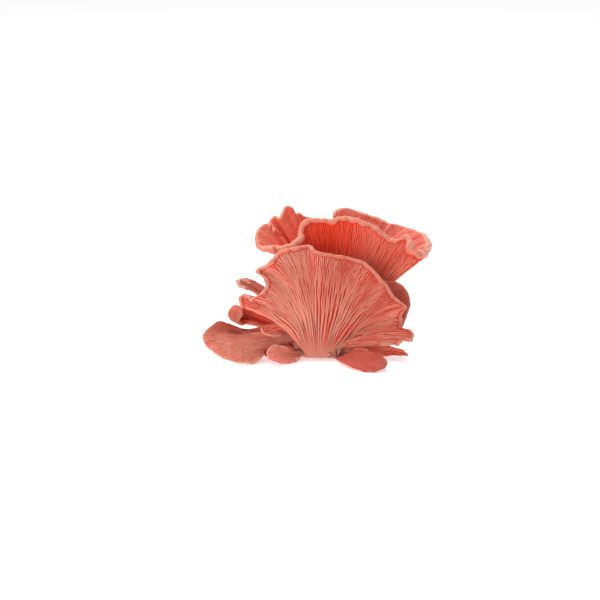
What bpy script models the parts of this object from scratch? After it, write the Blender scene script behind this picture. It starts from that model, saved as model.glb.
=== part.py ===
"""A cluster of pink oyster mushrooms, cut from its block and resting on the cut base.

Every mushroom is a thin fan-shaped cap that narrows to a short stem, so each is modelled in the
same way. A flat grid is bent over the mushroom's spokes, the lines that its gills follow from the
stem to the margin, and Solidify gives it the thickness of the flesh with its gills. The stems grow
out of one shared lump, and each is cut off at the lump's surface, so that every mushroom is a
separate solid. Everything is cut level at the floor, where the knife went through.

Run it with: blender --background --python part.py
Frame: metres, +Z up, the origin at the middle of the cut face, the front mushroom's gills facing -Y.
"""

import math

import bmesh
import bpy
import numpy as np

MM = 0.001

# The shared lump that the stems grow from: half its width and depth, and its height.
LUMP_HALF_WIDTH = 17.5 * MM
LUMP_HALF_DEPTH = 12 * MM
LUMP_SET_BACK = 2 * MM  # it stands this far behind the origin, and the front stem stands before it
LUMP_HEIGHT = 21 * MM
LUMP_ROUGHNESS = 0.06  # how far the lump swells and dips, as a share of its size
STEM_GAP = 0.35 * MM  # the gap between a stem and the lump that it was cut from

# How thick the caps are, flesh and gills together, in millimetres.
MARGIN_THICKNESS = 1.9  # at the rolled edge
STEM_THICKNESS = 5.2  # where the stem meets the lump

SKIN = (0.80, 0.36, 0.28)
PALE_SKIN = (0.84, 0.45, 0.36)
DEEP_SKIN = (0.66, 0.20, 0.14)

# Each mushroom: points along its stem's foot, then its spokes, as (waist point, rim point). The
# points are millimetres in the object's frame. The spokes run left to right as seen by someone who
# faces the gills, so the skin is always on the same side of the sheet.
MUSHROOMS = {
    "front_mushroom": {
        "look": "skin",
        "grid": (8, 46),
        "foot": [(-8.5, -11.5, 3), (-5, -12.5, 2), (0, -12.5, 1.5), (4.5, -12.5, 3), (8.5, -12, 5)],
        "spokes": [
            ((-20.5, -13, 17.5), (-39.5, -10, 26.5)),
            ((-21.5, -12, 20), (-41.5, -10.5, 30)),
            ((-21.5, -11, 22.5), (-41, -9, 32)),
            ((-20.5, -10, 24.5), (-35.5, -11, 32)),
            ((-19.5, -8.5, 26.5), (-30, -10, 33.5)),
            ((-18.5, -7, 28.5), (-27.5, -6, 36.5)),
            ((-17.5, -5.5, 30.5), (-29, -3, 39.5)),
            ((-16.5, -4, 32.5), (-33, -2, 43)),
            ((-14.5, -4, 34.5), (-27.5, -2, 46.5)),
            ((-11.5, -4, 36), (-20.5, 0, 52.5)),
            ((-8, -2.5, 36), (-13, 3, 53.5)),
            ((-5, -1, 35.5), (-7, 4, 54.5)),
            ((-2, -2, 35.5), (-2.5, 1, 52)),
            ((2.5, -3.5, 34.5), (5.5, 2, 50)),
            ((7.5, -2, 33), (14, 4, 48)),
            ((12, -1, 30), (21, 3, 46)),
            ((15.5, -2.5, 26.5), (27.5, -1, 41)),
            ((18, -4, 23), (33, -3, 35)),
            ((20, -5, 19.5), (37, -6, 30)),
            ((21, -4.5, 17), (42, -12, 27.5)),
            ((21.5, -4, 14.5), (40, -7, 22.5)),
            ((21, -4.5, 13), (40, -7, 17.5)),
            ((20.5, -6, 11.5), (40.5, -9, 15.5)),
            ((20, -6.5, 11), (42.5, -10, 15)),
            ((20, -7, 11), (45.5, -12, 14.5)),
            ((19.5, -7, 10.5), (46.5, -13, 13)),
            ((19.5, -7.5, 10), (45.5, -14.5, 10.5)),
            ((19.5, -8, 9.5), (43.5, -12.5, 11.5)),
            ((19, -8.5, 9.5), (42, -11.5, 11)),
            ((19, -9, 9), (41, -12.5, 9.5)),
            ((18.5, -9, 8.5), (39.5, -13.5, 8)),
            ((18.5, -9.5, 8), (37.5, -12, 8.5)),
            ((18, -10, 7.5), (34, -12.5, 8)),
            ((17, -11, 7), (29.5, -12, 7.5)),
        ],
    },
    "rear_mushroom": {
        "look": "skin",
        "grid": (8, 60),
        "foot": [(1, 10, 7), (-5, 8, 7), (-7, 3, 7), (0, 1, 9), (9, 2, 8)],
        "spokes": [
            ((0, 26, 35.5), (-5, 37, 61)),
            ((-2, 26, 36.5), (-9, 37, 62.5)),
            ((-4, 26, 38), (-12, 36, 64)),
            ((-6, 26, 39.5), (-13.5, 35, 63.5)),
            ((-7, 26, 40), (-14.5, 35, 65.5)),
            ((-8.5, 25.5, 41), (-17, 35, 68)),
            ((-9.5, 25, 41), (-19, 34.5, 67)),
            ((-10.5, 24, 41), (-20, 32, 65.5)),
            ((-11.5, 22.5, 41.5), (-21.5, 28.5, 63)),
            ((-12, 23.5, 41.5), (-23.5, 31, 63.5)),
            ((-13, 23.5, 41.5), (-25.5, 30.5, 62.5)),
            ((-13.5, 22, 41), (-26.5, 28.5, 60.5)),
            ((-13.5, 19.5, 41), (-24.5, 23, 58)),
            ((-14, 20, 41), (-26.5, 24.5, 60)),
            ((-15, 19.5, 40.5), (-29, 24, 61)),
            ((-15.5, 18, 40.5), (-31, 22, 60)),
            ((-16, 17, 40.5), (-32.5, 20, 58.5)),
            ((-16.5, 15.5, 40), (-33.5, 17, 55.5)),
            ((-16.5, 14, 39.5), (-32, 13, 52)),
            ((-15.5, 12, 39), (-27.5, 9, 53)),
            ((-13.5, 11, 38), (-21.5, 8, 53)),
            ((-11, 11, 37.5), (-16, 8, 54.5)),
            ((-8, 13, 38), (-11, 11, 59)),
            ((-5.5, 14, 39), (-10.5, 14, 64)),
            ((-2.5, 15, 38), (-6.5, 15, 66)),
            ((2.5, 16, 37), (3, 17, 65.5)),
            ((8, 16, 36), (12, 18, 66.5)),
            ((13.5, 15, 34.5), (20, 17, 65)),
            ((18, 15, 32.5), (28, 16, 61.5)),
            ((21, 14, 30.5), (35.5, 16, 55.5)),
            ((22.5, 13.5, 29), (39.5, 15, 56)),
            ((24, 12.5, 28), (43.5, 15, 58.5)),
            ((24.5, 12, 26.5), (47, 14, 55)),
            ((25, 11.5, 25), (48.5, 13, 50.5)),
            ((24.5, 11, 23), (51.5, 12, 46)),
        ],
    },
    "back_mushroom": {
        "look": "pale",
        "grid": (8, 26),
        "foot": [(13.5, 7, 6), (9, 10.5, 6.5)],
        "spokes": [
            ((32.5, 18, 29), (49.5, 18, 49)),
            ((32.5, 20, 32), (53, 16, 49.5)),
            ((32, 22, 35.5), (54.5, 19, 52.5)),
            ((31, 24, 38), (52, 25, 55.5)),
            ((29, 26, 39.5), (46, 31, 56.5)),
            ((26.5, 28, 40.5), (40, 35, 57.5)),
            ((24, 30, 41), (34, 38, 58)),
            ((21.5, 31, 41.5), (28, 40, 60.5)),
            ((18.5, 32, 42), (21.5, 42, 62)),
            ((15.5, 32, 42), (14.5, 43, 64.5)),
            ((12.5, 32, 41.5), (10.5, 42, 65)),
            ((10, 31, 39.5), (7, 41, 63.5)),
            ((8.5, 30, 36.5), (8, 40, 57)),
        ],
    },
    "right_mushroom": {
        "look": "deep",
        "grid": (7, 16),
        "foot": [(13, 0, 6), (12, 1, 12)],
        "spokes": [
            ((25.5, 1.5, 10), (39, -2, 10.5)),
            ((27, 3, 14), (41.5, 0, 16)),
            ((28.5, 4, 17), (43.5, 2, 21.5)),
            ((29, 4.5, 20), (44.5, 4, 25.5)),
            ((28, 5, 23), (43, 6, 30)),
            ((26, 5, 25.5), (39.5, 7.5, 34)),
            ((23, 4.5, 27.5), (34.5, 7, 35.5)),
            ((20, 4, 28), (29, 6.5, 35)),
        ],
    },
    "curled_mushroom": {
        "look": "skin",
        "grid": (10, 14),
        "stem": 3,
        "foot": [(-13.5, 3, 7), (-12, 3.5, 12)],
        "spokes": [
            ((-31.5, -1, 16), (-37.5, -3, 17)),
            ((-39, 0, 16.5), (-40.5, -7, 17)),
            ((-42, 0, 17.5), (-41.5, -9, 19)),
            ((-43.5, 0, 19.5), (-40, -9.5, 21.5)),
            ((-43, 0, 21), (-39, -9, 23.5)),
            ((-41.5, 0, 22), (-39.5, -7, 24.5)),
            ((-38, 0, 22.5), (-41, -3, 23.5)),
            ((-32.5, 0, 23), (-38, 0, 23)),
        ],
    },
    "paddle_mushroom": {
        "look": "skin",
        "grid": (8, 22),
        "stem": 3,
        "foot": [(-8, -1, 16), (-10, -2.5, 8)],
        "spokes": [
            ((-26, -3, 15.5), (-31, -6, 14.5)),
            ((-29, -5, 14), (-37.5, -10.5, 13.5)),
            ((-32, -7, 13.5), (-43, -13, 16.5)),
            ((-34.5, -8.5, 13), (-49, -12, 20)),
            ((-37.5, -10.5, 12.5), (-56, -13, 17)),
            ((-39.5, -13, 12), (-59, -15, 12.5)),
            ((-39.5, -15.5, 10), (-56.5, -17, 8)),
            ((-38.5, -16, 8.5), (-51, -18.5, 4.5)),
            ((-36.5, -16, 7.5), (-45, -20, 2)),
            ((-34, -15, 6.5), (-39, -20.5, 1)),
            ((-31, -13, 6), (-34.5, -20.5, 0.5)),
            ((-28, -10.5, 6.5), (-31.5, -19, 1.5)),
            ((-25.5, -8, 7), (-28.5, -16, 4)),
        ],
    },
    "half_round_mushroom": {
        "look": "skin",
        "grid": (5, 12),
        "stem": 1.9,
        "margin": 1.5,
        "foot": [(-7, -5, 12), (-6.5, -4.5, 16)],
        "spokes": [
            ((-18, -7.5, 14), (-19, -9.5, 13.5)),
            ((-20.5, -9, 14.5), (-21.5, -13.5, 13)),
            ((-22.5, -10.5, 15), (-24.5, -16, 13.5)),
            ((-23.5, -10, 16), (-27.5, -16.5, 14.5)),
            ((-24, -9, 16.5), (-30, -16, 16.5)),
            ((-23, -7.5, 17), (-30, -13.5, 17.5)),
        ],
    },
    "tucked_mushroom": {
        "look": "deep",
        "grid": (5, 10),
        "stem": 2.4,
        "foot": [(-14, -2, 1), (-13.5, -1.5, 5)],
        "spokes": [
            ((-16.5, -7, 1.5), (-22, -12.5, 0.5)),
            ((-18.5, -7, 2.5), (-26.5, -11, 1)),
            ((-20.5, -6, 4), (-29.5, -9, 2)),
            ((-21, -4.5, 5), (-29.5, -7, 4.5)),
            ((-19.5, -3, 6.5), (-28, -5, 7)),
            ((-18, -2, 7.5), (-25.5, -2, 9.5)),
            ((-16, -1.5, 8.5), (-21.5, -1.5, 10)),
        ],
    },
    "low_mushroom": {
        "look": "pale",
        "grid": (5, 14),
        "stem": 3,
        "foot": [(-10.5, -4.5, 4), (-9.5, -5, 1.5)],
        "spokes": [
            ((-14.5, -13, 5.5), (-17.5, -17, 8)),
            ((-17, -15.5, 6.5), (-21.5, -19, 9.5)),
            ((-19, -17.5, 6.5), (-25, -20.5, 9.5)),
            ((-20.5, -19, 5.5), (-27, -21.5, 6.5)),
            ((-20, -19.5, 4), (-25, -20.5, 3)),
            ((-18.5, -19, 3), (-21.5, -19.5, 1.5)),
            ((-16, -17.5, 2), (-17.5, -19, 1)),
            ((-13.5, -15.5, 1.5), (-13.5, -18, 1.5)),
            ((-11.5, -13, 1.5), (-11, -15.5, 1.5)),
        ],
    },
    "tongue_mushroom": {
        "look": "deep",
        "grid": (7, 14),
        "stem": 1.9,
        "foot": [(7, -6, -0.5), (12, -4.5, -0.5)],
        "spokes": [
            ((10, -23, 2), (19.5, -33, 1)),
            ((13, -24, 2.5), (24.5, -35, 0.5)),
            ((15.5, -23, 3), (29, -34, 1.5)),
            ((16.5, -21, 4), (32, -30, 3)),
            ((16.5, -18.5, 4.5), (30.5, -26, 5.5)),
            ((16, -14, 4.5), (25.5, -23, 6.5)),
            ((14, -11.5, 4), (19.5, -19, 8)),
        ],
    },
    "strap_mushroom": {
        "look": "deep",
        "grid": (7, 16),
        "stem": 2.6,
        "foot": [(14, -2, 5.5), (14, -3, 2)],
        "spokes": [
            ((23.5, -4, 8), (29, -5, 6)),
            ((24.5, -4.5, 7), (32.5, -6, 4.5)),
            ((26, -5, 6), (37, -7, 3.5)),
            ((28, -6, 5), (41.5, -8, 3)),
            ((29, -7, 4), (43, -9, 1.5)),
            ((28.5, -7.5, 3.5), (40, -9, 1.5)),
            ((27.5, -8, 3), (35.5, -9, 1.5)),
            ((26, -8, 3), (31, -9, 1)),
            ((23.5, -8, 3.5), (26.5, -9, 2.5)),
        ],
    },
    "finger_mushroom": {
        "look": "pale",
        "grid": (7, 8),
        "stem": 2.6,
        "foot": [(-10.5, 3, 16), (-12, 2.5, 13)],
        "spokes": [
            ((-28, 3, 33), (-35, -1, 36.5)),
            ((-30, 3, 32.5), (-40.5, -3, 39)),
            ((-31, 3, 31.5), (-43, -5, 38.5)),
            ((-30.5, 2.5, 30), (-41, -5, 36.5)),
            ((-29, 2, 28), (-38, -5, 34)),
        ],
    },
}


def clear_scene():
    for obj in list(bpy.data.objects):
        bpy.data.objects.remove(obj, do_unlink=True)


def collection(name):
    made = bpy.data.collections.new(name)
    bpy.context.scene.collection.children.link(made)
    return made


def material(name, colour, roughness):
    made = bpy.data.materials.new(name)
    made.use_nodes = True
    shader = made.node_tree.nodes["Principled BSDF"]
    shader.inputs["Base Color"].default_value = (*colour, 1)
    shader.inputs["Roughness"].default_value = roughness
    shader.inputs["Metallic"].default_value = 0
    return made


def through(knots, points, at):
    """A smooth curve through the points, which sit at the knots, read at each place in at."""
    step = np.diff(knots)[:, None]
    slope = np.diff(points, axis=0) / step
    inner = (slope[1:] * step[:-1] + slope[:-1] * step[1:]) / (step[1:] + step[:-1])
    tangent = np.concatenate([slope[:1], inner, slope[-1:]])
    k = np.clip(np.searchsorted(knots, at, side="right") - 1, 0, len(knots) - 2)
    s = ((at - knots[k]) / np.diff(knots)[k])[:, None]
    h = step[k]
    start = (1 + 2 * s) * (1 - s) ** 2 * points[k] + s * (1 - s) ** 2 * h * tangent[k]
    end = s**2 * (3 - 2 * s) * points[k + 1] + s**2 * (s - 1) * h * tangent[k + 1]
    return start + end


def spoke_grid(foot, spokes, along, across):
    """The mushroom's sheet as points in metres, [along a spoke][across the fan]."""
    foot = np.array(foot, float)
    waist = np.array([spoke[0] for spoke in spokes], float)
    rim = np.array([spoke[1] for spoke in spokes], float)
    gap = np.linalg.norm(np.diff(rim, axis=0), axis=1) + np.linalg.norm(np.diff(waist, axis=0), axis=1)
    knots = np.concatenate([[0], np.cumsum(gap)]) / gap.sum()
    v = np.linspace(0, 1, across + 1)
    low = through(np.linspace(0, 1, len(foot)), foot, v)
    middle = through(knots, waist, v)
    high = through(knots, rim, v)
    u = np.linspace(0, 1, along + 1)[:, None, None]
    return (low * (1 - u) * (1 - 2 * u) + middle * 4 * u * (1 - u) + high * u * (2 * u - 1)) * MM


def fan(name, shape, look, home):
    """One mushroom: a grid bent over the spokes, then given its thickness."""
    along, across = shape["grid"]
    points = spoke_grid(shape["foot"], shape["spokes"], along, across)
    bm = bmesh.new()
    bmesh.ops.create_grid(bm, x_segments=across, y_segments=along, size=0.5)
    thinness = bm.verts.layers.deform.verify()
    for vert in bm.verts:
        v = round((vert.co.x + 0.5) * across)
        u = round((vert.co.y + 0.5) * along)
        vert.co = points[u][v]
        vert[thinness][0] = (1 - u / along) ** 1.5
    bmesh.ops.reverse_faces(bm, faces=bm.faces)
    mesh = bpy.data.meshes.new(name)
    bm.to_mesh(mesh)
    bm.free()
    mesh.materials.append(look)
    obj = bpy.data.objects.new(name, mesh)
    home.objects.link(obj)
    obj.vertex_groups.new(name="towards_the_stem")
    thick = obj.modifiers.new("flesh", "SOLIDIFY")
    thick.thickness = shape.get("stem", STEM_THICKNESS) * MM
    thick.offset = 0
    thick.vertex_group = "towards_the_stem"
    thick.thickness_vertex_group = shape.get("margin", MARGIN_THICKNESS) / shape.get("stem", STEM_THICKNESS)
    mesh.shade_smooth()
    return obj


def lump(name, home, grow=0.0):
    """The shared base: a round lump, gently uneven, that reaches below the floor until it is cut."""
    bpy.ops.mesh.primitive_uv_sphere_add(segments=28, ring_count=14, radius=1)
    obj = bpy.context.object
    obj.name = name
    for owner in list(obj.users_collection):
        owner.objects.unlink(obj)
    home.objects.link(obj)
    for vert in obj.data.vertices:
        x, y, z = vert.co
        swell = 1 + LUMP_ROUGHNESS * math.sin(5 * x + 2) * math.cos(4 * y + 3 * z)
        vert.co.x = x * (LUMP_HALF_WIDTH * swell + grow)
        vert.co.y = y * (LUMP_HALF_DEPTH * swell + grow) + LUMP_SET_BACK
        vert.co.z = z * (LUMP_HEIGHT * swell + grow)
    obj.data.shade_smooth()
    return obj


def cut(obj, cutter):
    """Take the cutter away from the object. EXACT leaves nothing of a sheet this closely folded."""
    made = obj.modifiers.new("less_" + cutter.name, "BOOLEAN")
    made.operation = "DIFFERENCE"
    made.solver = "MANIFOLD"
    made.object = cutter
    return made


def hide(obj):
    obj.hide_render = True
    obj.display_type = "WIRE"
    return obj


def floor_cutter(home):
    """A block under the floor: what it takes away leaves the level face of the knife cut."""
    size = 200 * MM
    bpy.ops.mesh.primitive_cube_add(size=size, location=(0, 0, -size / 2))
    obj = bpy.context.object
    obj.name = "floor_cutter"
    for owner in list(obj.users_collection):
        owner.objects.unlink(obj)
    home.objects.link(obj)
    return hide(obj)


def build():
    clear_scene()
    parts = collection("oyster_mushroom_cluster")
    cutters = collection("cutters")
    looks = {
        "skin": material("mushroom_skin", SKIN, 0.75),
        "pale": material("pale_mushroom_skin", PALE_SKIN, 0.8),
        "deep": material("deep_mushroom_skin", DEEP_SKIN, 0.7),
    }
    floor = floor_cutter(cutters)
    room_for_lump = hide(lump("room_for_lump", cutters, grow=STEM_GAP))
    base = lump("cut_base", parts)
    base.data.materials.append(looks["pale"])
    cut(base, floor)
    for name, shape in MUSHROOMS.items():
        made = fan(name, shape, looks[shape["look"]], parts)
        cut(made, room_for_lump)
        cut(made, floor)


build()
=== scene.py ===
# %% [markdown]
# # A cluster of pink oyster mushrooms
# Pink oyster mushrooms grow as a bouquet. Thin fan-shaped caps spread from short stems that share
# one lump of flesh, and each cap carries gills on its outer side, from its rolled edge down to the
# stem. This lesson builds one mushroom well and then repeats it with other sizes, because a table
# of shapes is easier to correct than a dozen separate models.
#
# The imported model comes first. It gives the size that everything must keep, and the body that
# every piece rides on.

# %% Load the frame
import math

import bpy
import numpy as np
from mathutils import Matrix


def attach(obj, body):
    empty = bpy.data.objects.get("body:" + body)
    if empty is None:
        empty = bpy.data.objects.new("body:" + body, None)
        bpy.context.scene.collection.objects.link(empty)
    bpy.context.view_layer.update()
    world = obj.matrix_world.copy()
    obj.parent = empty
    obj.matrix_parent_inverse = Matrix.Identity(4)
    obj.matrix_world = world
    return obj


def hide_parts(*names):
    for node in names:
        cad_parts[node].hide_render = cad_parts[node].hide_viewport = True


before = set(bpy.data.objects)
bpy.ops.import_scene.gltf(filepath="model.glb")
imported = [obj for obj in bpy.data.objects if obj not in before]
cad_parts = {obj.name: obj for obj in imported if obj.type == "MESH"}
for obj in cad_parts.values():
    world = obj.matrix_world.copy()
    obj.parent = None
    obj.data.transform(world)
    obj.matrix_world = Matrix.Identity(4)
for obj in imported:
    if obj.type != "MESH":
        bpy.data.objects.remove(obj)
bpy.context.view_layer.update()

MM = 0.001

# %% [markdown]
# ## The camera
# A long lens from a little over a metre away keeps the proportions honest, as in a catalogue
# picture. It looks down by fifteen degrees, low enough to see into the gills of the front cap and
# high enough to see over it to the rear one.

# %% Place the camera
VIEW_DISTANCE = 1.2
VIEW_DOWN = math.radians(15)
LOOK_AT = (-0.011, 0.0, 0.0276)

lens = bpy.data.cameras.new("camera")
lens.lens = 144
lens.sensor_width = 36
camera = bpy.data.objects.new("camera", lens)
bpy.context.scene.collection.objects.link(camera)
camera.location = (
    LOOK_AT[0],
    LOOK_AT[1] - VIEW_DISTANCE * math.cos(VIEW_DOWN),
    LOOK_AT[2] + VIEW_DISTANCE * math.sin(VIEW_DOWN),
)
camera.rotation_euler = (math.pi / 2 - VIEW_DOWN, 0, 0)
bpy.context.scene.camera = camera
print("the camera stands at", [round(c, 3) for c in camera.location])

# %% [markdown]
# ## The table of mushrooms
# A cap could be sculpted by hand, but then it would be hard to change. Here each one is described
# by its spokes, the lines that its gills follow. A spoke has a foot on the shared lump, a waist
# half way, and a rim point, and the cap is the smooth sheet through all of them. Close spokes with
# uneven rims make the frills. The points are millimetres in the object's frame. Each spoke is given
# as its waist and then its rim point, six numbers, and the spokes run left to right as seen by
# someone who faces the gills, so the skin is always on the same side.
#
# "look" says how deep the skin's pink is, "across" how finely the fan is divided from side to
# side, and "stem" and "margin" are thicknesses where they differ from the usual ones.

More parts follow.
